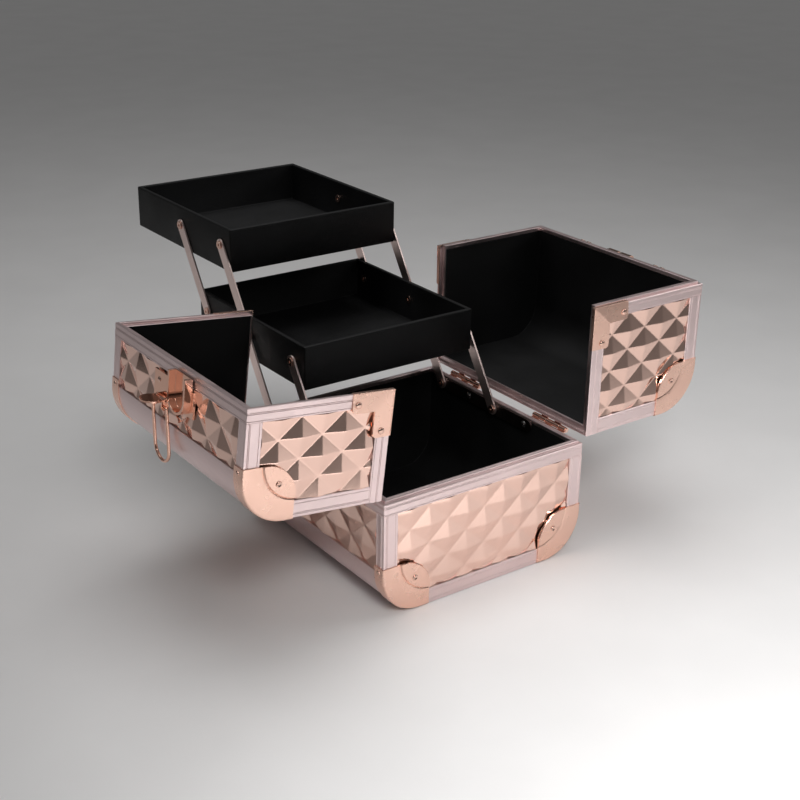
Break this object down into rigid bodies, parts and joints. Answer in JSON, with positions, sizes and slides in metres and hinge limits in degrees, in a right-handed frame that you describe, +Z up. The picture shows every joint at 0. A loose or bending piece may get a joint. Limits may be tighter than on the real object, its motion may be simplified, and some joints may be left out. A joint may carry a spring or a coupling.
{
  "type": "makeup train case",
  "caption": "Hard makeup case with two side-hinged lid halves and stacked cantilever trays on folding arms, shown open.",
  "frame": {"origin": "centre of the base box's underside", "axes": "+Z up, X across the two lid halves with the left lid at -X, +Y towards the back, where the trays swing out"},
  "size_m": [0.5568, 0.4989, 0.2901],
  "materials": {
    "board": "matt board, hidden between the sheets",
    "lining": "black fine-grained leatherette",
    "mirror_panel": "mirror-bright rose gold sheet embossed with pyramids",
    "bottom_sheet": "plain satin rose sheet",
    "profile": "satin pale pink anodised extrusion with fine lengthwise lines",
    "rose_steel": "smooth satin rose gold plating",
    "hinge_steel": "rose gold plating",
    "arm_steel": "satin pink-silver strip",
    "rivet": "polished rose gold domes",
    "dark_steel": "dark satin lacquer",
    "screw_steel": "bright plated screws",
    "tray_wrap": "black leather-grained wrap over board",
    "latch_metal": "polished rose gold plating",
    "grip": "smooth rose moulding"
  },
  "bodies": {
    "base": {"base_board": "board", "base_lining": "lining", "base_end_panels": "mirror_panel", "base_side_panels": "mirror_panel", "base_bottom_panel": "bottom_sheet", "base_edge_strips": "profile", "base_rim": "profile", "base_end_frames": "profile", "base_corner_caps": "rose_steel", "base_cap_rivets": "rivet", "base_hinge_leaves": "hinge_steel", "hinge_pins": "rivet", "bracket_bars": "dark_steel", "bracket_screws": "screw_steel", "bracket_rivets": "rivet"},
    "lid_left": {"left_board": "board", "left_lining": "lining", "left_end_panels": "mirror_panel", "left_wall_panels": "mirror_panel", "left_edge_strip": "profile", "left_rim": "profile", "left_end_frames": "profile", "left_corner_caps": "rose_steel", "left_seam_brackets": "rose_steel", "left_rivets": "rivet", "left_hinge_leaves": "hinge_steel", "latch_plate": "latch_metal", "latch_housing": "latch_metal", "latch_rivets": "rivet", "latch_pin": "rivet"},
    "lid_right": {"right_board": "board", "right_lining": "lining", "right_end_panels": "mirror_panel", "right_wall_panels": "mirror_panel", "right_edge_strip": "profile", "right_rim": "profile", "right_end_frames": "profile", "right_corner_caps": "rose_steel", "right_seam_brackets": "rose_steel", "right_rivets": "rivet", "right_hinge_leaves": "hinge_steel", "catch": "latch_metal", "handle_brackets": "latch_metal", "handle_pins": "rivet"},
    "lower_rear_arms": {"lower_rear_arms": "arm_steel"},
    "lower_front_arms": {"lower_front_arms": "arm_steel"},
    "lower_tray": {"lower_tray": "tray_wrap", "lower_tray_rivets": "rivet"},
    "upper_rear_arms": {"upper_rear_arms": "arm_steel"},
    "upper_front_arms": {"upper_front_arms": "arm_steel"},
    "upper_tray": {"upper_tray": "tray_wrap", "upper_tray_rivets": "rivet"},
    "latch_lever": {"latch_lever": "latch_metal"},
    "latch_loop": {"latch_loop": "latch_metal"},
    "handle": {"handle_frame": "latch_metal", "handle_grip": "grip"}
  },
  "joints": [
    {"name": "lid_left_hinge", "type": "hinge", "parent": "base", "child": "lid_left", "pos_m": [-0.1215, 0, 0.117], "axis": [0, -1, 0], "range_deg": [-3.5, 6.5]},
    {"name": "lid_right_hinge", "type": "hinge", "parent": "base", "child": "lid_right", "pos_m": [0.1215, 0, 0.117], "axis": [0, 1, 0], "range_deg": [-10, 0]},
    {"name": "lower_rear_arm_swing", "type": "hinge", "parent": "base", "child": "lower_rear_arms", "pos_m": [0, 0.0857, 0.1112], "axis": [1, 0, 0], "range_deg": [0, 95]},
    {"name": "lower_front_arm_swing", "type": "hinge", "parent": "base", "child": "lower_front_arms", "pos_m": [0, 0.0012, 0.1112], "axis": [1, 0, 0], "range_deg": [0, 95]},
    {"name": "lower_tray_pivot", "type": "hinge", "parent": "lower_rear_arms", "child": "lower_tray", "pos_m": [0, 0.13766, 0.19121], "axis": [1, 0, 0], "range_deg": [-95, 0]},
    {"name": "upper_rear_arm_swing", "type": "hinge", "parent": "lower_tray", "child": "upper_rear_arms", "pos_m": [0, 0.22216, 0.19121], "axis": [1, 0, 0], "range_deg": [0, 95]},
    {"name": "upper_front_arm_swing", "type": "hinge", "parent": "lower_tray", "child": "upper_front_arms", "pos_m": [0, 0.13766, 0.19121], "axis": [1, 0, 0], "range_deg": [0, 95]},
    {"name": "upper_tray_pivot", "type": "hinge", "parent": "upper_rear_arms", "child": "upper_tray", "pos_m": [0, 0.27412, 0.27122], "axis": [1, 0, 0], "range_deg": [-95, 0]},
    {"name": "latch_lever_pivot", "type": "hinge", "parent": "lid_left", "child": "latch_lever", "pos_m": [-0.25858, 0.014, 0.20357], "axis": [0, -1, 0], "range_deg": [-80, 0]},
    {"name": "latch_loop_pivot", "type": "hinge", "parent": "latch_lever", "child": "latch_loop", "pos_m": [-0.26113, 0.014, 0.19883], "axis": [0, 1, 0], "range_deg": [0, 180]},
    {"name": "handle_pivot", "type": "hinge", "parent": "lid_right", "child": "handle", "pos_m": [0.2686, 0, 0.2435], "axis": [0, -1, 0], "range_deg": [0, 95]}
  ],
  "couplings": [
    {"joint": "lower_front_arm_swing", "follows": "lower_rear_arm_swing", "ratio": 1},
    {"joint": "lower_tray_pivot", "follows": "lower_rear_arm_swing", "ratio": -1},
    {"joint": "upper_front_arm_swing", "follows": "upper_rear_arm_swing", "ratio": 1},
    {"joint": "upper_tray_pivot", "follows": "upper_rear_arm_swing", "ratio": -1}
  ]
}
